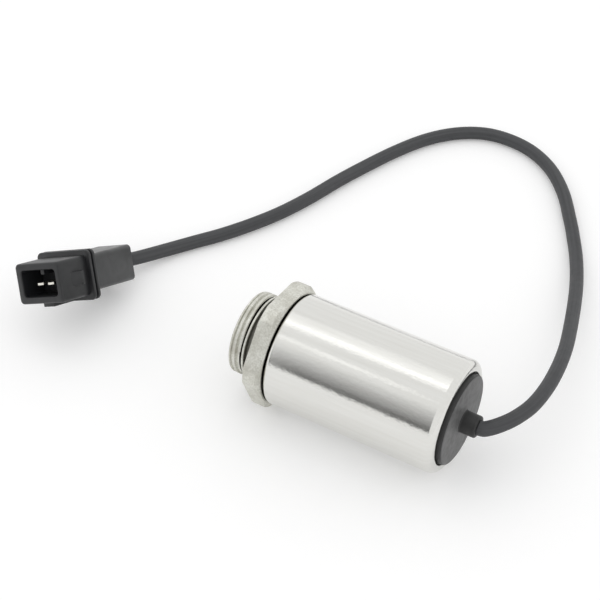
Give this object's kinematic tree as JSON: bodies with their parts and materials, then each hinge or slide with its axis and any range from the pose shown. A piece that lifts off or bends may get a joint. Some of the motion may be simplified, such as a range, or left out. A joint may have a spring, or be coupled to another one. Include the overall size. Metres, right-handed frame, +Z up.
{
  "type": "variable valve timing solenoid",
  "caption": "Push solenoid in a drawn steel can, with a threaded nose, a hexagon, and a lead that ends in a blade connector.",
  "frame": {"origin": "on the floor under the middle of the solenoid, which lies on its side; the lead and its connector lie beside it", "axes": "+X along the solenoid's axis from the threaded nose to the lead, +Z up"},
  "size_m": [0.1897, 0.1907, 0.0434],
  "materials": {
    "plated_steel": "turned and plated, satin",
    "plated_can": "drawn and plated, satin bright",
    "soft_iron": "turned, plain",
    "stainless": "ground",
    "spring_steel": "drawn wire",
    "bronze": "sintered, oiled",
    "brass": "stamped",
    "copper": "enamelled wire",
    "tinned_blade": "tin plated",
    "black_rubber": "moulded, matt",
    "bobbin_plastic": "moulded",
    "tape": "film tape",
    "cap_plastic": "moulded, finely textured",
    "core_black": "insulated wire",
    "core_red": "insulated wire",
    "lead_jacket": "sheath, matt",
    "connector_plastic": "moulded",
    "connector_rear": "moulded",
    "carrier_plastic": "moulded"
  },
  "bodies": {
    "housing": {"nose_fitting": "plated_steel", "nose_ring": "black_rubber", "can": "plated_can", "front_pole": "soft_iron", "front_bush": "bronze", "front_washer": "soft_iron", "return_spring": "spring_steel", "pole_shim": "brass", "guide_tube": "stainless", "rear_stop": "soft_iron", "rear_bush": "bronze", "bobbin": "bobbin_plastic", "coil_winding": "copper", "winding_tape": "tape", "rear_yoke": "soft_iron", "end_cap": "cap_plastic", "cap_seal": "black_rubber", "coil_terminal_1": "brass", "coil_terminal_2": "brass", "core_wire_1": "core_black", "core_wire_2": "core_red", "lead_root": "lead_jacket", "lead_cord": "lead_jacket", "connector_shell": "connector_plastic", "connector_rear_body": "connector_rear", "contact_carrier": "carrier_plastic", "contact_blade_1": "tinned_blade", "contact_blade_2": "tinned_blade", "tail_core_1": "core_black", "tail_core_2": "core_red", "lead_tail": "lead_jacket", "wire_grommet": "black_rubber"},
    "plunger": {"push_pin": "stainless", "armature": "soft_iron"}
  },
  "joints": [
    {"name": "plunger_slide", "type": "slide", "parent": "housing", "child": "plunger", "axis": [-1, 0, 0], "range_m": [0, 0.003], "stiffness_N_per_m": 1500, "springref_m": -0.002, "deforming": ["return_spring"]}
  ]
}
